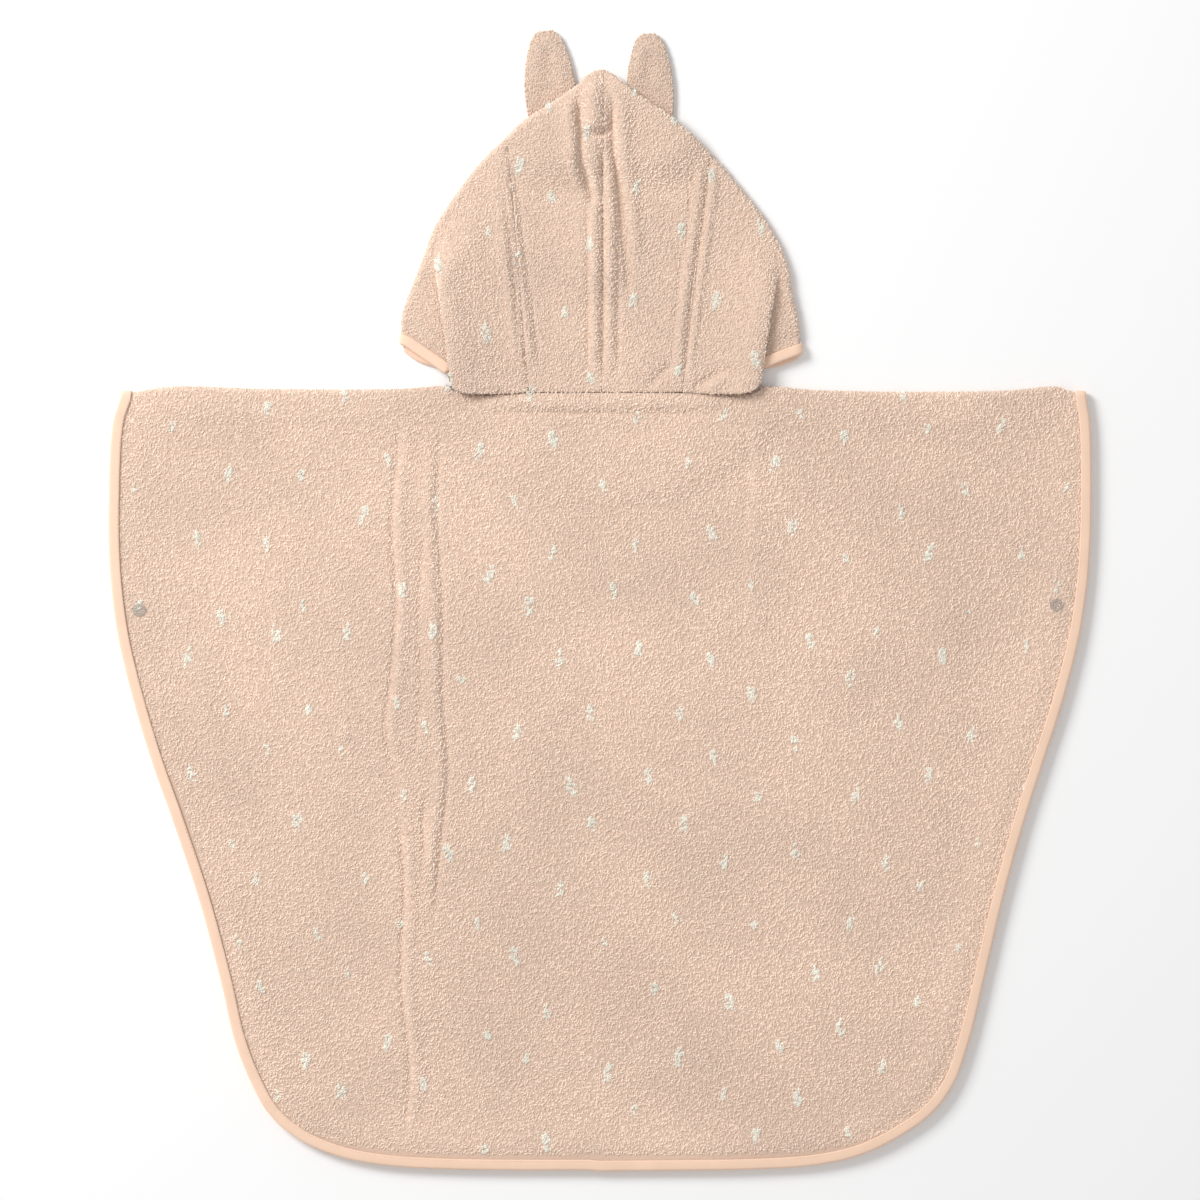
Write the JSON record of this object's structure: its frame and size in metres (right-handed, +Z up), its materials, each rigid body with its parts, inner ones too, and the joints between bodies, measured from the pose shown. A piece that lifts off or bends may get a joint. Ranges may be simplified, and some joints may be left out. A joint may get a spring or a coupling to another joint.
{
  "type": "hooded bath poncho",
  "caption": "Hooded terry bath poncho for a small child, with ears on the hood and bound edges, laid flat with its back up.",
  "frame": {"origin": "middle of the laid garment's outline, on the surface that it lies on", "axes": "+Z up, away from the surface, +Y from the hem towards the hood, +X to the right seen from above"},
  "size_m": [0.736, 0.8541, 0.0138],
  "materials": {
    "terry": "looped cotton terry",
    "binding": "smooth woven cotton",
    "snap_plastic": "clear satin"
  },
  "bodies": {
    "root": {"body": "terry", "body_binding": "binding", "neck_binding": "binding", "hood_side_left": "terry", "hood_centre_left": "terry", "hood_centre_right": "terry", "hood_side_right": "terry", "hood_binding": "binding", "ear_left_front": "terry", "ear_left_back": "terry", "ear_right_front": "terry", "ear_right_back": "terry", "snap_left_back": "snap_plastic", "snap_left_front": "snap_plastic", "snap_right_back": "snap_plastic", "snap_right_front": "snap_plastic"}
  },
  "joints": []
}
